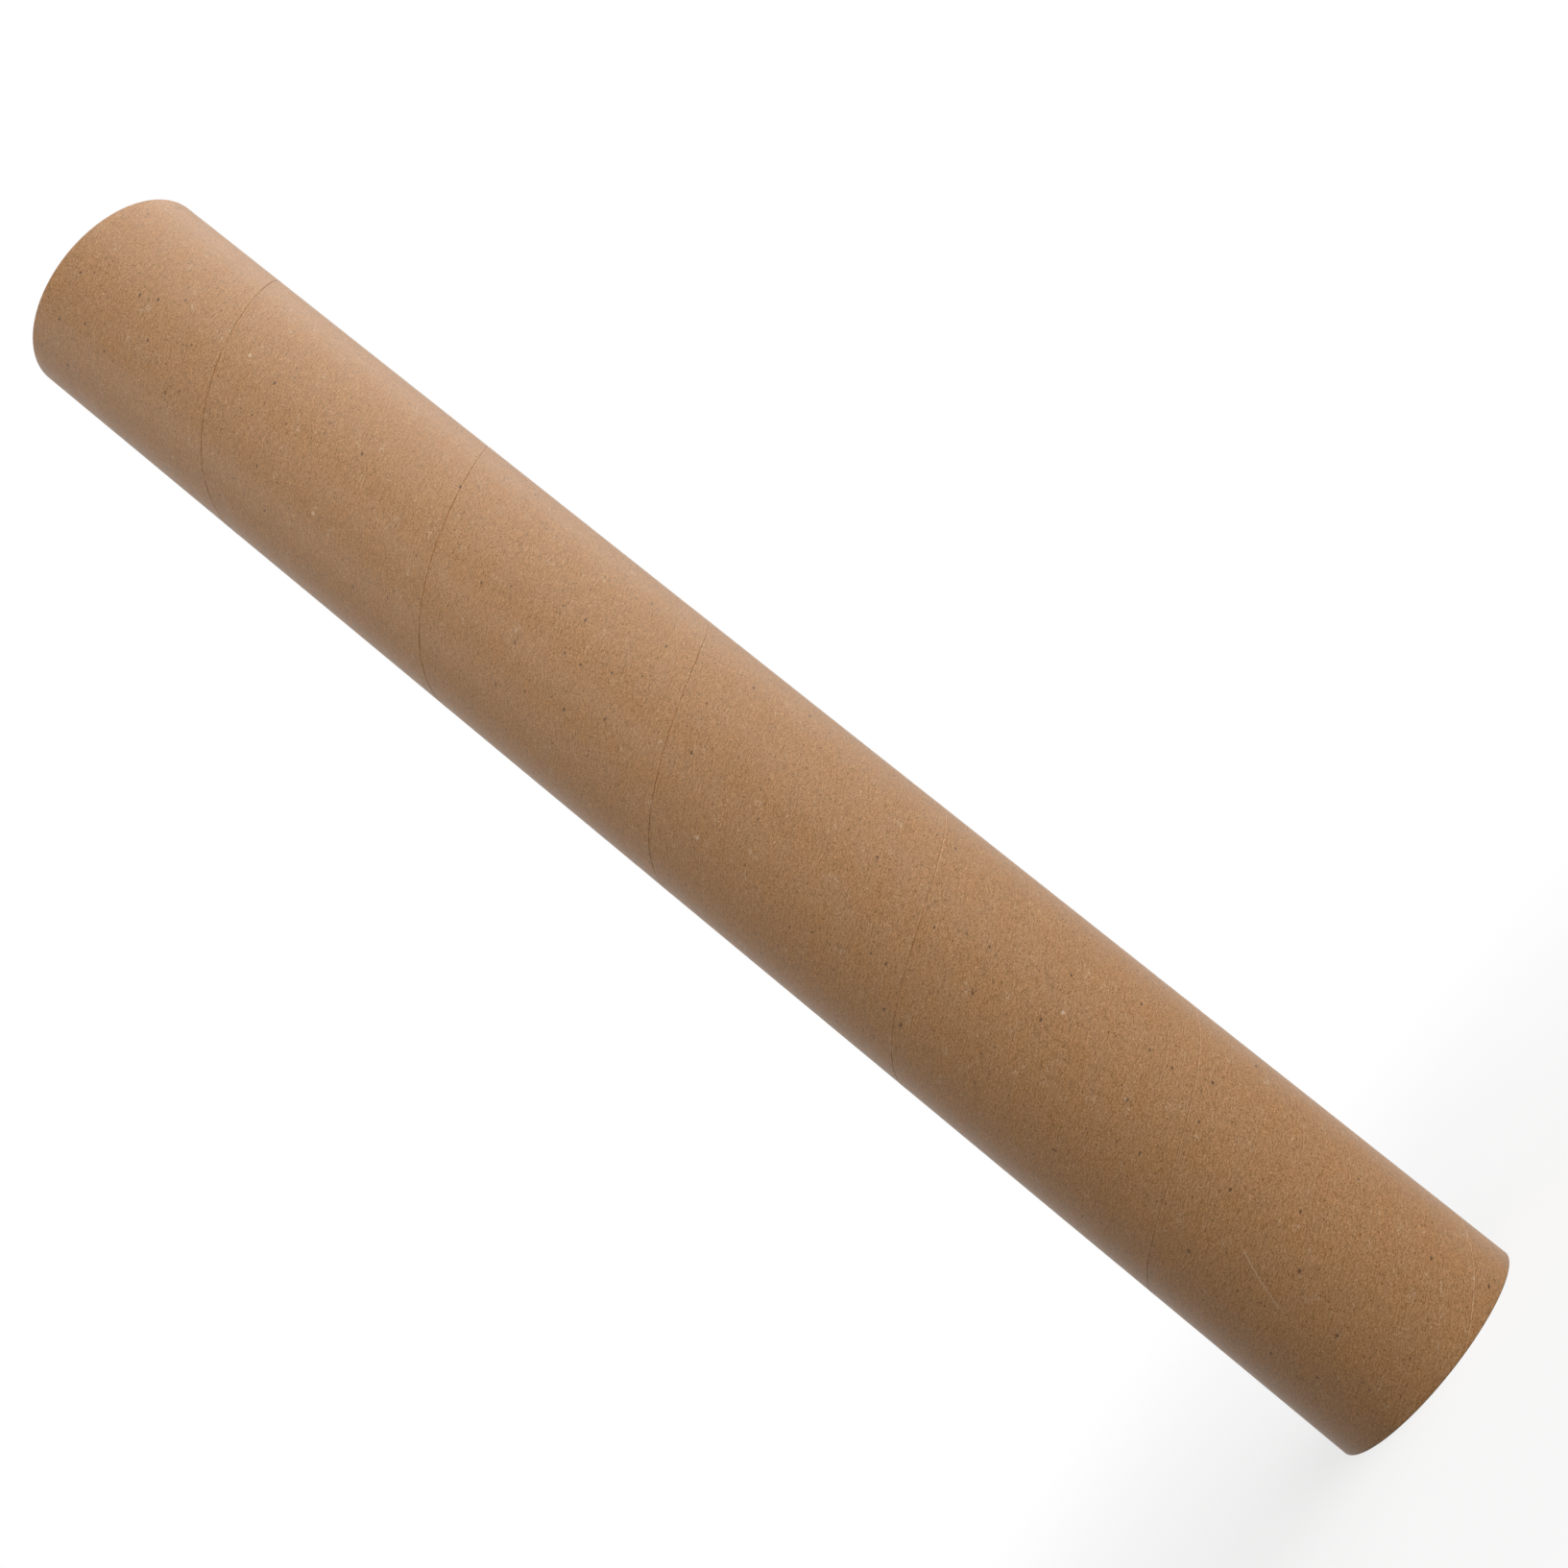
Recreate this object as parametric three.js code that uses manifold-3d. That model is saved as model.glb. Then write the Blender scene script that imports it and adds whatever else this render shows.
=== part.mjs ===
// Kraft mailing tube: a spiral-wound paper board tube, cut square and open at both ends.
// Millimetres, +Z up. It stands on its lower end, and the origin is the centre of that end.

import * as THREE from 'three';
import { mergeVertices } from 'three/addons/utils/BufferGeometryUtils.js';
import Module from 'manifold-3d';

// The cut tube. Its plies are glued together into one rigid wall.
const LENGTH = 400;
const BORE_DIAMETER = 51.5;
const LINER_PLY = 0.3; // innermost ply, laid on the mandrel first
const CORE_PLIES = 1.4; // the board plies in between, together
const WRAP_PLY = 0.3; // outermost ply, the smooth brown kraft that shows
const EDGE_BREAK = 0.15; // bevel that handling leaves on each edge of the two cuts

// The winding. Each ply is one long strip wound up a right-hand helix, so its lower edge meets
// the upper edge of the turn below along a seam: a narrow open gap, as deep as the ply.
const WINDING_PITCH = 70.5; // rise of a seam in one turn
const WRAP_SEAM_GAP = 0.4; // measured along the tube
const WRAP_SEAM_HEIGHT = 68.7; // where the wrap's seam crosses the front of the tube, at -Y
const LINER_SEAM_GAP = 0.5;
const LINER_SEAM_HEIGHT = 33;

const FACETS_AROUND = 72;

const KRAFT_BROWN = 0xb08c68;
const KRAFT_ROUGHNESS = 0.85;

const boreRadius = BORE_DIAMETER / 2;
const outerRadius = boreRadius + LINER_PLY + CORE_PLIES + WRAP_PLY;
const stepRise = WINDING_PITCH / FACETS_AROUND;
const wrapSeamFoot = WRAP_SEAM_HEIGHT - WRAP_SEAM_GAP / 2;
const linerSeamFoot = LINER_SEAM_HEIGHT - LINER_SEAM_GAP / 2;

const manifold = await Module();
manifold.setup();

// One turn of the wall cut through by a plane that holds the axis, as [radius, height] corners in
// order. It runs from the foot of both seams to where the next turn begins, one pitch up, so that
// its last corner before each jump through the wall is the first corner of the turn above.
function turnSection() {
  const wrapFloor = outerRadius - WRAP_PLY;
  const linerFloor = boreRadius + LINER_PLY;
  return [
    [wrapFloor, wrapSeamFoot],
    [wrapFloor, wrapSeamFoot + WRAP_SEAM_GAP],
    [outerRadius, wrapSeamFoot + WRAP_SEAM_GAP],
    [outerRadius, wrapSeamFoot + WINDING_PITCH],
    [wrapFloor, wrapSeamFoot + WINDING_PITCH],
    [linerFloor, linerSeamFoot + WINDING_PITCH],
    [boreRadius, linerSeamFoot + WINDING_PITCH],
    [boreRadius, linerSeamFoot + LINER_SEAM_GAP],
    [linerFloor, linerSeamFoot + LINER_SEAM_GAP],
    [linerFloor, linerSeamFoot],
  ];
}

// The wound blank: the section of one turn carried up the helix, from well below the tube's lower
// end to well above its upper end. Each turn sits on the one below, so the face between them is
// left out, except under the first turn and over the last.
function blankGeometry() {
  const section = turnSection();
  const corners = section.length;
  const overFace = 4; // the side from corner 4 to corner 5 lies under the next turn
  const underFace = corners - 1; // the side from the last corner to the first lies on the turn below
  const seamFeet = [wrapSeamFoot, linerSeamFoot];
  const first = Math.floor((-Math.max(...seamFeet) - WINDING_PITCH) / stepRise) - 1;
  const last = Math.ceil((LENGTH - Math.min(...seamFeet)) / stepRise) + 1;

  const positions = [];
  for (let step = first; step <= last; step += 1) {
    const facet = ((step % FACETS_AROUND) + FACETS_AROUND) % FACETS_AROUND;
    const angle = (facet * 2 * Math.PI) / FACETS_AROUND;
    for (const [radius, height] of section) {
      positions.push(radius * Math.sin(angle), -radius * Math.cos(angle), height + step * stepRise);
    }
  }

  const faces = [];
  const steps = last - first;
  for (let step = 0; step < steps; step += 1) {
    for (let corner = 0; corner < corners; corner += 1) {
      const coveredBelow = corner === underFace && step >= FACETS_AROUND;
      const coveredAbove = corner === overFace && step < steps - FACETS_AROUND;
      if (!coveredBelow && !coveredAbove) {
        const a = step * corners + corner;
        const b = step * corners + ((corner + 1) % corners);
        faces.push(a, a + corners, b + corners, a, b + corners, b);
      }
    }
  }
  const outline = section.map(([radius, height]) => new THREE.Vector2(radius, height));
  const end = steps * corners;
  for (const [a, b, c] of THREE.ShapeUtils.triangulateShape(outline, [])) {
    faces.push(a, b, c);
    faces.push(end + a, end + c, end + b);
  }

  const geometry = new THREE.BufferGeometry();
  geometry.setAttribute('position', new THREE.Float32BufferAttribute(positions, 3));
  geometry.setIndex(faces);
  return geometry;
}

// What the knife leaves: a ring that stands clear of the wall inside and out, and draws in at
// each end to cut the blank square and bevel its edges.
function cutGeometry() {
  const clear = WRAP_PLY + LINER_PLY;
  const inside = boreRadius - clear;
  const outside = outerRadius + clear;
  const inner = boreRadius + EDGE_BREAK;
  const outer = outerRadius - EDGE_BREAK;
  const bevelEnd = EDGE_BREAK + clear;
  const section = [
    [inner, 0],
    [outer, 0],
    [outside, bevelEnd],
    [outside, LENGTH - bevelEnd],
    [outer, LENGTH],
    [inner, LENGTH],
    [inside, LENGTH - bevelEnd],
    [inside, bevelEnd],
    [inner, 0],
  ].map(([radius, height]) => new THREE.Vector2(radius, height));
  const ring = new THREE.LatheGeometry(section, FACETS_AROUND);
  ring.deleteAttribute('normal');
  ring.deleteAttribute('uv');
  return ring.rotateX(Math.PI / 2);
}

// A closed geometry as a solid that can be cut.
function toSolid(geometry) {
  const merged = mergeVertices(geometry);
  return new manifold.Manifold(new manifold.Mesh({
    numProp: 3,
    vertProperties: new Float32Array(merged.attributes.position.array),
    triVerts: new Uint32Array(merged.index.array),
  }));
}

// A solid back as a geometry.
function toGeometry(solid) {
  const { vertProperties, triVerts } = solid.getMesh();
  const geometry = new THREE.BufferGeometry();
  geometry.setAttribute('position', new THREE.BufferAttribute(vertProperties, 3));
  geometry.setIndex(new THREE.BufferAttribute(triVerts, 1));
  geometry.computeVertexNormals();
  return geometry;
}

const kraft = new THREE.MeshStandardMaterial({
  color: KRAFT_BROWN,
  roughness: KRAFT_ROUGHNESS,
  metalness: 0,
});

const wound = toSolid(blankGeometry()).intersect(toSolid(cutGeometry()));
const tube = new THREE.Mesh(toGeometry(wound), kraft);
tube.name = 'tube';

const mailingTube = new THREE.Group();
mailingTube.add(tube);

export default mailingTube;
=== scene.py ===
"""The looks of a kraft mailing tube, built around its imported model. Metres, +Z up."""

from math import atan, cos, pi, radians, sin

import bmesh
import bpy
import numpy as np
from mathutils import Matrix, Vector


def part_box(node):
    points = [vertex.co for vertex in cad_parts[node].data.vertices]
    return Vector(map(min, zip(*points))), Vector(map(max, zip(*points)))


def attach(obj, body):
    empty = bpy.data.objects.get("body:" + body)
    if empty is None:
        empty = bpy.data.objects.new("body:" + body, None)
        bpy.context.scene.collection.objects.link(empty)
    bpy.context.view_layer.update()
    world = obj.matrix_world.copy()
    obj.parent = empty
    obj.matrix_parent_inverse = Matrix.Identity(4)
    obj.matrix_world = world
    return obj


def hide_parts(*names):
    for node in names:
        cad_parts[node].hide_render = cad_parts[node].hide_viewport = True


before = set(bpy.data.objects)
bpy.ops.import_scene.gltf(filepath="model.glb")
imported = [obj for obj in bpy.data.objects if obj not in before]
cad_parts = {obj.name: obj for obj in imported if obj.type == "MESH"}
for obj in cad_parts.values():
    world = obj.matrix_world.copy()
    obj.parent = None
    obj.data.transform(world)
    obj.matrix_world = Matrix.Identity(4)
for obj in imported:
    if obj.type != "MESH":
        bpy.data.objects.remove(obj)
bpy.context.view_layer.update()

# The camera looks at the tube from the front and a little below its middle, and is rolled over
# its own line of sight, so that the standing tube runs down the picture from left to right.
CAMERA_PLACE = Vector((0.0, -0.452, 0.1038))
CAMERA_AIM = Vector((0.00881, 0.0, 0.18801))
CAMERA_ROLL = radians(-51.17)
CAMERA_LENS = 45.17
CAMERA_SENSOR = 36.0

camera_data = bpy.data.cameras.new("camera")
camera_data.lens = CAMERA_LENS
camera_data.sensor_width = CAMERA_SENSOR
camera = bpy.data.objects.new("camera", camera_data)
bpy.context.scene.collection.objects.link(camera)
upright = (CAMERA_AIM - CAMERA_PLACE).to_track_quat("-Z", "Y").to_matrix().to_4x4()
camera.matrix_world = Matrix.Translation(CAMERA_PLACE) @ upright @ Matrix.Rotation(CAMERA_ROLL, 4, "Z")
bpy.context.scene.camera = camera

# The tube wall. Strips of kraft paper and grey board are wound up a mandrel on a right-hand helix
# and glued into one rigid wall, which a knife then cuts square at both ends. The wrap, outermost,
# leaves a hairline gap where its two edges meet, and the joints of the plies under it show through.
MM = 0.001
tube_low, tube_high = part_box("tube")
LENGTH = tube_high.z
OUTER_RADIUS = tube_high.x
BORE_RADIUS = 25.75 * MM
EDGE_ROUND = 0.15 * MM

PITCH = 70.5 * MM  # rise of a seam in one turn
WRAP_SEAM = 68.7 * MM  # height at which the wrap's seam crosses the front
LINER_SEAM = 33.0 * MM
SEAM_FLOOR = 0.09 * MM  # half the width of the gap at its floor
SEAM_MOUTH = 0.17 * MM  # and at its mouth, between the two rounded edges
SEAM_DEPTH = 0.26 * MM
SEAM_LIP = 0.022 * MM  # how far the paper's edges curl up beside the gap
LIP_REACH = 0.5 * MM
UNDER_JOINTS = (8.0 * MM, 46.7 * MM)  # joints of the plies below, above the wrap's seam
JOINT_DIP = 0.03 * MM
JOINT_WIDTH = 0.35 * MM
SWELL = 0.025 * MM  # slow unevenness of the wound wall

OPENNESS = 0.6  # of the wrap's seam, on average: 1 is the full gap and 0 is none
OPENNESS_TO_BACK = 0.25  # how much less it is open at the front, and more at the back
OPENNESS_SWING = 0.3  # and how much more or less from place to place
OPENNESS_LEAST = 0.1

PLIES = 6  # that show in the cut faces
CREASE_DEPTH = 0.05 * MM  # between one ply and the next
PLY_UNEVENNESS = 0.02 * MM

COLUMNS = 288  # facets round the tube
TURNS = range(-2, 8)  # turns of the helix, enough to pass both ends from any column

chance = np.random.default_rng(7)


def along_helix(angle, height, seam):
    """How far a point stands above a seam: its height less the seam's, which rises one pitch in a
    full turn, taken into the range from minus half a pitch to half a pitch."""
    above = height - seam - PITCH * angle / (2 * pi)
    return np.mod(above + PITCH / 2, PITCH) - PITCH / 2


def waves(angle, height, turns, lengths):
    """A slow, even swell between -1 and 1: a sum of cosines, each with a whole number of periods
    round the tube, its own wavelength up it and a random phase."""
    total = np.zeros_like(height)
    for count, length in zip(turns, lengths):
        total += np.cos(count * angle + 2 * pi * height / length + chance.uniform(0, 2 * pi))
    return total / len(turns)


def seam_dip(distance, openness):
    """Depth of a butt gap at a distance from its middle: full over the floor, none past the mouth,
    with a smooth step between, less the curl of the two paper edges beside it. An openness of 1
    is the full gap, and of 0 none."""
    reach = np.abs(distance)
    step = np.clip((SEAM_MOUTH - reach) / (SEAM_MOUTH - SEAM_FLOOR), 0, 1)
    gap = SEAM_DEPTH * openness * step * step * (3 - 2 * step)
    curl = SEAM_LIP * np.exp(-((reach - SEAM_MOUTH) / LIP_REACH) ** 2) * (1 - step)
    return gap - curl


def wrap_radius(angle, height):
    """The outer radius, less a swell, the dip of the wrap's seam and a faint round-bottomed dip
    over each joint of the plies below. The seam is on the whole narrowest at the front and widest
    at the back, and varies on its way."""
    swell = SWELL * (1 + waves(angle, height, (2, 3, 5, 1), (0.31, 0.17, 0.083, 0.052))) / 2
    varied = OPENNESS_SWING * waves(angle, height, (4, 11, 17), (0.19, 0.11, 0.071))
    openness = np.clip(OPENNESS - OPENNESS_TO_BACK * np.cos(angle) + varied, OPENNESS_LEAST, 1)
    radius = OUTER_RADIUS - SEAM_LIP - swell
    radius = radius - seam_dip(along_helix(angle, height, WRAP_SEAM), openness)
    for joint in UNDER_JOINTS:
        distance = along_helix(angle, height, WRAP_SEAM + joint)
        radius = radius - JOINT_DIP * np.exp(-((distance / JOINT_WIDTH) ** 2))
    return radius


def liner_radius(angle, height):
    """The bore's radius, plus a swell and the dip of the liner's seam."""
    swell = SWELL * (1 + waves(angle, height, (2, 4, 1), (0.23, 0.12, 0.064))) / 2
    dip = seam_dip(along_helix(angle, height, LINER_SEAM), np.ones_like(height))
    return BORE_RADIUS + swell + SEAM_LIP + dip


def seam_rows(extra, spacing):
    """Where the rows of a wound surface lie above its seam, over one pitch: close together across
    the seam, at the given places between, and no more than the spacing apart elsewhere."""
    near = np.array([SEAM_FLOOR, SEAM_MOUTH, 1.6 * SEAM_MOUTH, 2 * LIP_REACH, 5 * LIP_REACH])
    marks = np.sort(np.concatenate([near, extra, PITCH - near]))
    filled = [marks[:1]]
    for low, high in zip(marks[:-1], marks[1:]):
        filled.append(np.linspace(low, high, max(2, int(np.ceil((high - low) / spacing)) + 1))[1:])
    return np.concatenate(filled)


def wound_heights(angle, seam, rows):
    """Heights of a wound surface's rows, one line of the array for each row: every row rises with
    the helix, and stops where it meets an end of the tube."""
    turns = np.array(TURNS)[:, None] * PITCH + rows[None, :]
    height = seam + turns.reshape(-1, 1) + PITCH * angle[None, :] / (2 * pi)
    low = EDGE_ROUND
    high = LENGTH - EDGE_ROUND
    snap = 0.3 * EDGE_ROUND
    height = np.where(height < low + snap, low, height)
    return np.where(height > high - snap, high, height)


def end_relief(share, angle):
    """How deep the cut face lies at a share of the way through the wall: the plies stand unevenly,
    by a few hundredths of a millimetre, with a crease between one ply and the next. It fades out
    towards both edges of the face."""
    crease = np.abs(np.sin(pi * PLIES * share)) ** 0.35
    uneven = 0.5 + 0.5 * np.cos(2 * pi * (1.7 * share) + 3 * angle + 1.3 * np.sin(5 * angle))
    deep = CREASE_DEPTH * (1 - crease) + PLY_UNEVENNESS * uneven
    return deep * np.sin(pi * share) ** 0.25


def wall_grid():
    """The closed surface of the wall as one grid of points, rows by columns: up the outside, in
    over the upper cut, down the bore and out under the lower cut. Each cut meets the outside and
    the bore in a quarter circle. Also the row that each row runs into after a full turn."""
    angle = 2 * pi * np.arange(COLUMNS + 1) / COLUMNS
    joint_rows = np.add.outer(UNDER_JOINTS, JOINT_WIDTH * np.arange(-2, 3)).ravel()
    outer_rows = seam_rows(joint_rows, spacing=6.5 * MM)
    bore_rows = seam_rows([], spacing=12 * MM)
    outer_height = wound_heights(angle, WRAP_SEAM, outer_rows)
    bore_height = wound_heights(angle, LINER_SEAM, bore_rows)[::-1]
    wide = np.broadcast_to(angle, outer_height.shape)
    outer = np.stack([wrap_radius(wide, outer_height), outer_height])
    wide = np.broadcast_to(angle, bore_height.shape)
    bore = np.stack([liner_radius(wide, bore_height), bore_height])

    quarter = np.linspace(0, pi / 2, 4)[1:-1, None]
    share = np.linspace(0, 1, 19)[:, None]

    def end_rows(outside, inside, level, side):
        """One cut end, from the outside in: a quarter circle, the face and a quarter circle."""
        turn_in = [outside - EDGE_ROUND * (1 - np.cos(quarter)),
                   level + side * EDGE_ROUND * (np.sin(quarter) - 1)]
        from_radius = outside - EDGE_ROUND
        to_radius = inside + EDGE_ROUND
        face = [from_radius + (to_radius - from_radius) * share,
                level - side * end_relief(share, angle[None, :])]
        turn_out = [inside + EDGE_ROUND * (1 - np.cos(quarter[::-1])),
                    level + side * EDGE_ROUND * (np.sin(quarter[::-1]) - 1)]
        parts = [turn_in, face, turn_out]
        return np.concatenate([np.stack(np.broadcast_arrays(r, z)) for r, z in parts], axis=1)

    top = end_rows(outer[0, -1:], bore[0, :1], LENGTH, 1)
    bottom = end_rows(outer[0, :1], bore[0, -1:], 0.0, -1)[:, ::-1]
    radius, height = np.concatenate([outer, top, bore, bottom], axis=1)
    points = np.stack([radius * np.sin(angle), -radius * np.cos(angle), height], axis=-1)

    count = [part.shape[1] for part in (outer, top, bore, bottom)]
    start = np.cumsum([0] + count)
    after_turn = np.arange(start[-1])
    after_turn[: start[1]] = np.minimum(after_turn[: start[1]] + len(outer_rows), start[1] - 1)
    after_turn[start[2]:start[3]] = np.maximum(after_turn[start[2]:start[3]] - len(bore_rows), start[2])
    part_of = np.repeat([0, 1, 2, 1], count)
    return points, after_turn, part_of


def closed_mesh(name, points, after_turn, part_of):
    """A mesh of four-cornered faces between neighbouring rows and columns. The last column is the
    first one again, with each row carried on by the row it runs into, and the first row follows
    the last. Rows that stopped together at an end of the tube are merged."""
    rows, columns = points.shape[0], points.shape[1] - 1
    index = np.empty((rows + 1, columns + 1), int)
    index[:rows, :columns] = np.arange(rows * columns).reshape(rows, columns)
    index[:rows, columns] = index[after_turn, 0]
    index[rows] = index[0]
    quads = np.stack([index[:-1, :-1], index[:-1, 1:], index[1:, 1:], index[1:, :-1]], axis=-1)
    mesh = bpy.data.meshes.new(name)
    mesh.from_pydata(points[:, :-1].reshape(-1, 3), [], quads.reshape(-1, 4).tolist())
    mesh.polygons.foreach_set("material_index", np.repeat(part_of, columns).astype(np.int32))
    mesh.polygons.foreach_set("use_smooth", np.ones(len(mesh.polygons), bool))
    welded = bmesh.new()
    welded.from_mesh(mesh)
    bmesh.ops.remove_doubles(welded, verts=welded.verts, dist=0.002 * MM)
    welded.to_mesh(mesh)
    welded.free()
    mesh.update()
    return mesh


wall = bpy.data.objects.new("wound_wall", closed_mesh("wound_wall", *wall_grid()))
bpy.context.scene.collection.objects.link(wall)
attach(wall, "root")
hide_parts("tube")


class Signal:
    """A socket that gives a value, a colour or a vector. Arithmetic on a value adds Math nodes."""

    def __init__(self, socket):
        self.socket = socket

    def node(self, kind, settings=None, inputs=None, output=0):
        """Adds a node of that kind: its settings first, then a value or a link for each socket."""
        return add_node(self.socket.id_data, kind, settings, inputs, output)

    def math(self, operation, *terms):
        return self.node("ShaderNodeMath", {"operation": operation}, dict(enumerate(terms)))

    def __add__(self, other):
        return self.math("ADD", self, other)

    def __sub__(self, other):
        return self.math("SUBTRACT", self, other)

    def __rsub__(self, other):
        return self.math("SUBTRACT", other, self)

    def __mul__(self, other):
        return self.math("MULTIPLY", self, other)

    def __truediv__(self, other):
        return self.math("DIVIDE", self, other)

    def __neg__(self):
        return self.math("MULTIPLY", self, -1)

    __radd__ = __add__
    __rmul__ = __mul__

    def step(self, low, high):
        """0 where this is at low, 1 where it is at high, and a smooth step between."""
        settings = {"interpolation_type": "SMOOTHSTEP"}
        return self.node("ShaderNodeMapRange", settings, {"Value": self, "From Min": low, "From Max": high})


def add_node(tree, kind, settings=None, inputs=None, output=0):
    """Adds a node to a tree, with its settings made first, and returns one of its outputs."""
    made = tree.nodes.new(kind)
    for name, value in (settings or {}).items():
        setattr(made, name, value)
    for name, value in (inputs or {}).items():
        if isinstance(value, Signal):
            tree.links.new(value.socket, made.inputs[name])
        else:
            made.inputs[name].default_value = value
    return Signal(made.outputs[output]) if made.outputs else None


def blend(mask, plain, marked):
    """The plain colour where the mask is 0, the marked one where it is 1, and a mix between."""
    return mask.node("ShaderNodeMix", {"data_type": "RGBA"}, {0: mask, 6: plain, 7: marked}, output=2)


def vector_of(x, y, z=0.0):
    return x.node("ShaderNodeCombineXYZ", {}, {0: x, 1: y, 2: z})


def toned(colour, tone, grey=0.07):
    """The colour made lighter or darker by the tone: partly by scaling it and partly by adding a
    plain grey, since pale fibres and dark ones are less coloured than the paper as a whole."""
    scaled = colour.node(
        "ShaderNodeVectorMath", {"operation": "SCALE"}, {0: colour, "Scale": 1 + 0.6 * tone}
    )
    veil = vector_of(grey * tone, grey * tone, grey * tone)
    return scaled.node("ShaderNodeVectorMath", {"operation": "ADD"}, {0: scaled, 1: veil})


def noise(vector, scale, detail=2.0, roughness=0.5):
    """Smooth random values round 0, of about -0.5 to 0.5, with that many grains a millimetre."""
    inputs = {"Vector": vector, "Scale": scale, "Detail": detail, "Roughness": roughness}
    return vector.node("ShaderNodeTexNoise", {}, inputs) - 0.5


def specks(where, cell, size, share):
    """Scattered specks: in each cell of that many millimetres one point, kept for a share of the
    cells, with a size up to the one given. 1 on a speck and 0 off it."""
    inputs = {"Vector": where, "Scale": 1 / cell}
    distance = where.node("ShaderNodeTexVoronoi", {"voronoi_dimensions": "2D"}, inputs)
    drawn = where.node("ShaderNodeTexVoronoi", {"voronoi_dimensions": "2D"}, inputs, output=1)
    draw = drawn.node("ShaderNodeSeparateColor", {}, {0: drawn})
    radius = (1 - draw / share) * (size / cell)
    return (radius - distance).step(0, 0.3 * size / cell)


def hairs(where, patch, width):
    """Fine curved hairs: the thin lines on which a smooth noise passes through zero, kept only in
    scattered short pieces. 1 in the middle of a hair and 0 off it."""
    line = noise(where, scale=0.7, detail=1.0)
    kept = noise(where, scale=patch, detail=0.0).step(0.10, 0.20)
    return (width - line.math("ABSOLUTE", line)).step(0, width) * kept


class Strip:
    """A material for one wound strip of kraft paper, and where each point lies on that strip in
    millimetres: along it, across it, round the tube from its front, and up the tube. The strip
    goes on from turn to turn, so its pattern is unbroken along it and changes only at the seam."""

    def __init__(self, name, radius, seam):
        self.material = bpy.data.materials.new(name)
        self.material.use_nodes = True
        self.tree = self.material.node_tree
        self.tree.nodes.clear()
        place = add_node(self.tree, "ShaderNodeTexCoord", output="Object")
        x, y, z = (place.node("ShaderNodeSeparateXYZ", {}, {0: place}, output=axis) for axis in "XYZ")
        self.height = z / MM
        turn = x.math("ARCTAN2", x, -y) / (2 * pi)
        climb = (self.height - seam / MM) / (PITCH / MM) - turn
        girth = 2 * pi * radius / MM
        unrolled = (turn + climb.math("FLOOR", climb)) * girth
        slope = atan(PITCH / MM / girth)
        self.round = turn * girth
        self.along = unrolled * cos(slope) + self.height * sin(slope)
        self.across = self.height * cos(slope) - unrolled * sin(slope)
        self.from_axis = x.math("SQRT", x * x + y * y) / MM

    def fibre_tone(self):
        """The paper's mottling, in fractions of its colour: soft clouds, and ever finer grain that
        lies along the strip."""
        clouds = noise(vector_of(self.along * 0.6, self.across), scale=0.12)
        flocks = noise(vector_of(self.along * 0.5, self.across), scale=0.6, roughness=0.6)
        streaks = noise(vector_of(self.along * 0.3, self.across), scale=2.1, roughness=0.6)
        grain = noise(vector_of(self.along * 0.6, self.across), scale=3.4, roughness=0.7)
        return clouds * 0.12 + flocks * 0.38 + streaks * 1.3 + grain * 2.7

    def finish(self, colour, relief, roughness):
        """Ends the material in a matt paper surface with that colour, relief and roughness."""
        bumped = {"Strength": 0.6, "Distance": 0.03 * MM, "Height": relief}
        bump = relief.node("ShaderNodeBump", {}, bumped)
        inputs = {"Base Color": colour, "Roughness": roughness, "Normal": bump}
        inputs |= {"Specular IOR Level": 0.42, "Sheen Weight": 0.18, "Sheen Roughness": 0.35}
        shader = bump.node("ShaderNodeBsdfPrincipled", {}, inputs)
        add_node(self.tree, "ShaderNodeOutputMaterial", {}, {0: shader})
        wall.data.materials.append(self.material)


# The wrap's paper: brown kraft with fine grain, dark and pale specks and short loose fibres. The
# flecks that stand out on the front are at their own places, and so is a pale scratch low down.
KRAFT = (0.46, 0.227, 0.084, 1)
KRAFT_GREYER = (0.45, 0.233, 0.097, 1)
BARK = (0.10, 0.042, 0.014, 1)
PALE_FIBRE = (0.74, 0.54, 0.36, 1)
DARK_FLECKS = ((378, -28), (393, -30), (394, -4), (322, -41), (236, 1), (80, 28), (54, -32), (18, -41))
PALE_FLECKS = ((347, 17), (310, -24), (191, -28), (105, 16))  # millimetres up, degrees from the front
SCRATCH_LOW = (31.0, -26.5)  # given as the flecks are
SCRATCH_HIGH = (47.5, -13.6)
SCRATCH_BOW = 0.55  # millimetres from its chord at the middle

wrap = Strip("wrap_paper", OUTER_RADIUS, WRAP_SEAM)
GIRTH_DEGREE = 2 * pi * OUTER_RADIUS / MM / 360
spot = vector_of(wrap.round, wrap.height)


def flecks(places, size):
    """1 on each of the flecks at those places and 0 off them, with ragged outlines."""
    nearest = None
    for up, degrees in places:
        middle = (degrees * GIRTH_DEGREE, up, 0)
        distance = spot.node(
            "ShaderNodeVectorMath", {"operation": "DISTANCE"}, {0: spot, 1: middle}, output="Value"
        )
        nearest = distance if nearest is None else nearest.math("MINIMUM", nearest, distance)
    return (size - nearest + 0.5 * noise(spot, scale=2.3)).step(0, 0.15)


def scratch(low, high, bow, width):
    """1 on a shallow arc from the low end to the high end, fading out at both, and 0 off it."""
    start = Vector((low[1] * GIRTH_DEGREE, low[0]))
    chord = Vector((high[1] * GIRTH_DEGREE, high[0])) - start
    way = chord.normalized()
    right = wrap.round - start.x
    up = wrap.height - start.y
    share = (right * way.x + up * way.y) / chord.length
    aside = right * way.y - up * way.x + 4 * bow * share * (1 - share)
    inside = share.step(0, 0.2) * (1 - share.step(0.85, 1))
    return (width - aside.math("ABSOLUTE", aside)).step(0, width) * inside


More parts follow.
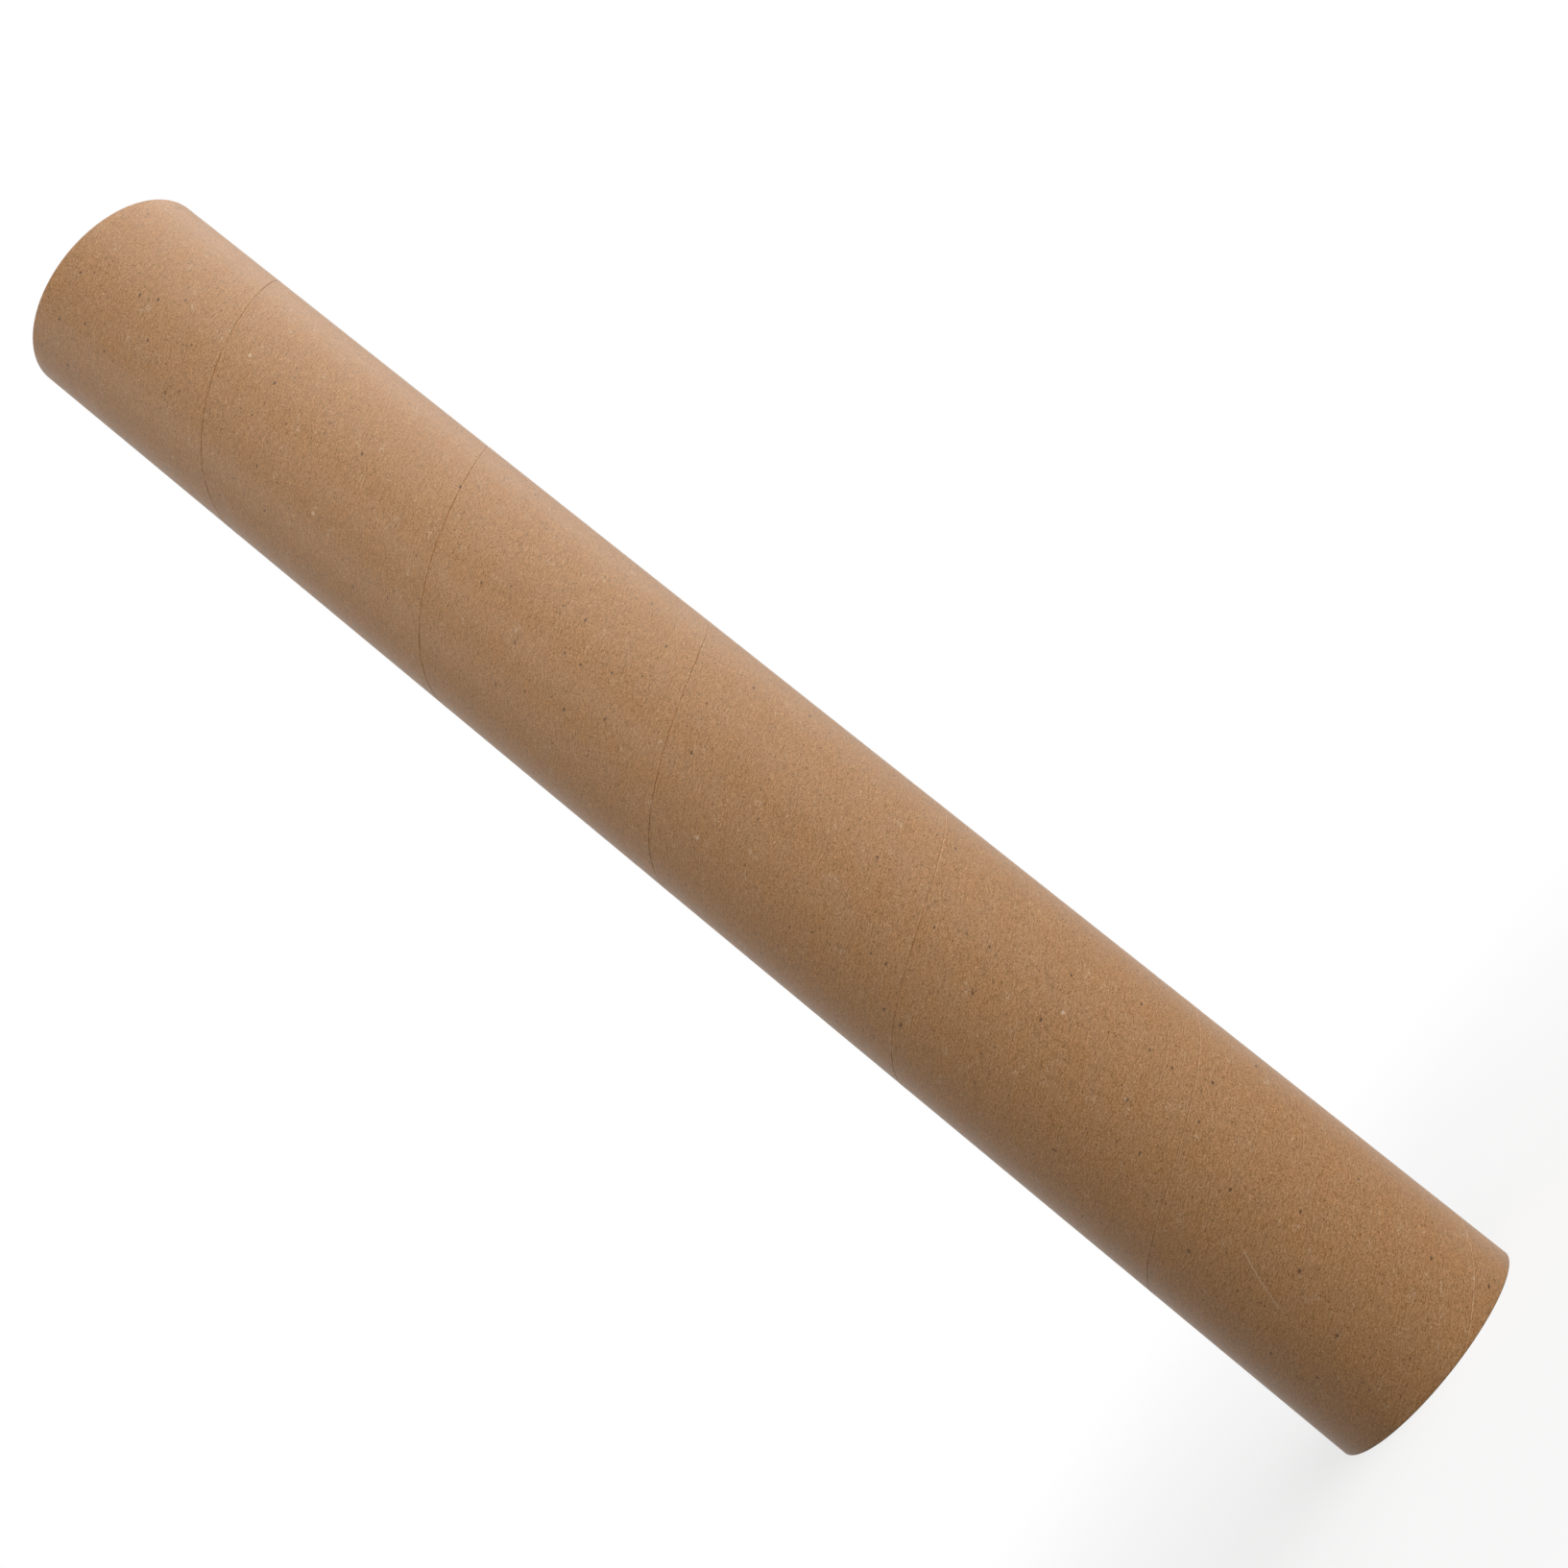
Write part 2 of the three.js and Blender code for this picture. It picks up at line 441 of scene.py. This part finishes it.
tone = wrap.fibre_tone()
shift = noise(vector_of(wrap.along * 0.7, wrap.across), scale=0.22).step(-0.22, 0.22)
colour = toned(blend(shift, KRAFT, KRAFT_GREYER), tone)
drawn_out = vector_of(wrap.along * 0.6, wrap.across)
colour = blend(specks(drawn_out, cell=1.7, size=0.27, share=0.5) * 0.5, colour, BARK)
colour = blend(specks(drawn_out, cell=6.5, size=0.38, share=0.6) * 0.85, colour, BARK)
pale = specks(vector_of(wrap.along * 0.7 + 40, wrap.across), cell=4.2, size=0.26, share=0.45)
colour = blend(pale * 0.4, colour, PALE_FIBRE)
crossed = vector_of(wrap.along * 0.7 + wrap.across * 0.3, wrap.across - wrap.along * 0.25)
pale_hairs = hairs(crossed, patch=0.33, width=0.02)
colour = blend(pale_hairs * 0.5, colour, PALE_FIBRE)
crossed = vector_of(wrap.along * 0.6 - wrap.across * 0.3, wrap.across + 70)
dark_hairs = hairs(crossed, patch=0.4, width=0.016)
colour = blend(dark_hairs * 0.4, colour, BARK)
colour = blend(flecks(DARK_FLECKS, size=0.42) * 0.8, colour, BARK)
colour = blend(flecks(PALE_FLECKS, size=0.5) * 0.75, colour, PALE_FIBRE)
scored = scratch(SCRATCH_LOW, SCRATCH_HIGH, SCRATCH_BOW, width=0.2)
colour = blend(scored * 0.6, colour, PALE_FIBRE)
wrap.finish(colour, tone + pale_hairs * 0.4, 0.46 + tone * 0.15)

# The two cuts: board plies one inside another, each a little lighter or darker than the next, with
# a dark glue line between, under the short fuzz that the knife drags out.
BOARD = (0.37, 0.225, 0.12, 1)
GLUE = (0.22, 0.125, 0.062, 1)
PLY_THICKNESS = 0.33  # millimetres

cut = Strip("cut_board", BORE_RADIUS, LINER_SEAM)
wander = noise(vector_of(cut.round, cut.height), scale=0.25, detail=3.0)
layer = (cut.from_axis - BORE_RADIUS / MM) / PLY_THICKNESS + wander * 0.35
ply = layer.math("FLOOR", layer)
into = layer - ply
fuzz_place = vector_of(cut.round * 0.35, cut.from_axis, cut.height)
fuzz = noise(fuzz_place, scale=5.0, detail=3.0, roughness=0.6)
tuft = noise(vector_of(cut.round, cut.from_axis * 1.5, cut.height), scale=1.1)
of_ply = noise(vector_of(ply * 7.3, cut.round * 0.01), scale=1.0, detail=0.0)
tone = of_ply * 1.2 + fuzz * 0.6 + tuft * 0.4
glue = 1 - into.step(0.08, 0.3)
colour = toned(blend(glue * 0.85, BOARD, GLUE), tone)
cut.finish(colour, fuzz + tuft - glue * 0.8, 0.72 + fuzz * 0.1)

# The liner: the innermost strip, wound first and glued under the others. It is a plainer, greyer
# kraft than the wrap's, rubbed smooth in streaks where it slid round the mandrel.
LINER = (0.385, 0.205, 0.094, 1)
LINER_GREYER = (0.37, 0.215, 0.112, 1)

liner = Strip("liner_paper", BORE_RADIUS, LINER_SEAM)
rubbed = noise(vector_of(liner.round * 0.04, liner.height), scale=0.5, detail=3.0)
tone = liner.fibre_tone() + rubbed * 0.12
colour = toned(blend(rubbed.step(-0.2, 0.2), LINER, LINER_GREYER), tone)
bark = specks(vector_of(liner.along * 0.6, liner.across), cell=5.5, size=0.45, share=0.7)
colour = blend(bark * 0.7, colour, BARK)
liner.finish(colour, tone, 0.55 - rubbed * 0.3)

# The floor: one wide, matt, pale sheet that the tube stands on. It keeps the tube's soft shadow
# close by, and fades to the white behind it further out.
FLOOR_REACH = 4.0  # from its middle to each edge
FLOOR_GREY = (0.04, 0.04, 0.04, 1)  # for the light that it throws back at the tube
FLOOR_WHITE = (0.92, 0.92, 0.92, 1)
FADE_NEAR = 0.75  # share of plain white close to the tube, where its shadow falls
FADE_FROM = 0.04  # distances from the tube's axis over which that share rises to the whole
FADE_TO = 0.4


def seen_plainly(tree):
    """1 for a ray from the camera, a reflection or a clear surface, and 0 for the light that a
    matt surface gathers."""
    camera_ray, glossy_ray, clear_ray = (
        add_node(tree, "ShaderNodeLightPath", output=name)
        for name in ("Is Camera Ray", "Is Glossy Ray", "Is Transmission Ray")
    )
    either = camera_ray.math("MAXIMUM", camera_ray, glossy_ray)
    return either.math("MAXIMUM", either, clear_ray)


corners = [(-FLOOR_REACH, -FLOOR_REACH, 0), (FLOOR_REACH, -FLOOR_REACH, 0)]
corners += [(FLOOR_REACH, FLOOR_REACH, 0), (-FLOOR_REACH, FLOOR_REACH, 0)]
floor_mesh = bpy.data.meshes.new("floor")
floor_mesh.from_pydata(corners, [], [(0, 1, 2, 3)])
floor = bpy.data.objects.new("floor", floor_mesh)
bpy.context.scene.collection.objects.link(floor)
floor_material = bpy.data.materials.new("pale_floor")
floor_material.use_nodes = True
tree = floor_material.node_tree
tree.nodes.clear()
place = add_node(tree, "ShaderNodeTexCoord", output="Object")
reach = place.node("ShaderNodeVectorMath", {"operation": "LENGTH"}, {0: place}, output="Value")
seen = seen_plainly(tree)
lit = add_node(tree, "ShaderNodeBsdfDiffuse", {}, {"Color": blend(seen, FLOOR_GREY, FLOOR_WHITE)})
white = add_node(tree, "ShaderNodeEmission", {}, {"Color": (1, 1, 1, 1), "Strength": 1.0})
faded = seen * (FADE_NEAR + (1 - FADE_NEAR) * reach.step(FADE_FROM, FADE_TO))
shader = seen.node("ShaderNodeMixShader", {}, {0: faded, 1: lit, 2: white})
add_node(tree, "ShaderNodeOutputMaterial", {}, {0: shader})
floor_mesh.materials.append(floor_material)

# The light: a white surround, a wide soft panel in front on the right, a weaker one behind on the
# right for the bright upper edge, and two weak beams from the front and the left that fade out
# towards the lower end.
SURROUND = 0.165  # what the surround adds to matt surfaces; in reflections it is plain white
world = bpy.data.worlds.new("surround")
bpy.context.scene.world = world
world.use_nodes = True
tree = world.node_tree
tree.nodes.clear()
seen = seen_plainly(tree)
strength = SURROUND + (1 - SURROUND) * seen
sky = seen.node("ShaderNodeBackground", {}, {"Color": (1, 1, 1, 1), "Strength": strength})
add_node(tree, "ShaderNodeOutputWorld", {}, {0: sky})


def soft_lamp(name, place, aim, width, watts, spread=180):
    """A square lamp of that width, which looks from its place to its aim and spreads its light
    over that many degrees."""
    data = bpy.data.lights.new(name, "AREA")
    data.size = width
    data.energy = watts
    data.spread = radians(spread)
    lamp = bpy.data.objects.new(name, data)
    lamp.location = place
    lamp.rotation_euler = (Vector(aim) - Vector(place)).to_track_quat("-Z", "Y").to_euler()
    bpy.context.scene.collection.objects.link(lamp)


soft_lamp("front_panel", (1.10, -0.85, 1.10), (0, 0, 0.25), width=2.0, watts=27.5)
soft_lamp("rim_panel", (1.30, 0.45, 0.95), (0, 0, 0.25), width=1.2, watts=8)
soft_lamp("front_beam", (-0.28, -0.90, 0.62), (0, 0, 0.27), width=0.35, watts=0.14, spread=40)
soft_lamp("left_beam", (-0.80, -0.28, 0.70), (0, 0, 0.32), width=0.40, watts=0.12, spread=45)

bpy.context.scene.view_settings.view_transform = "Standard"
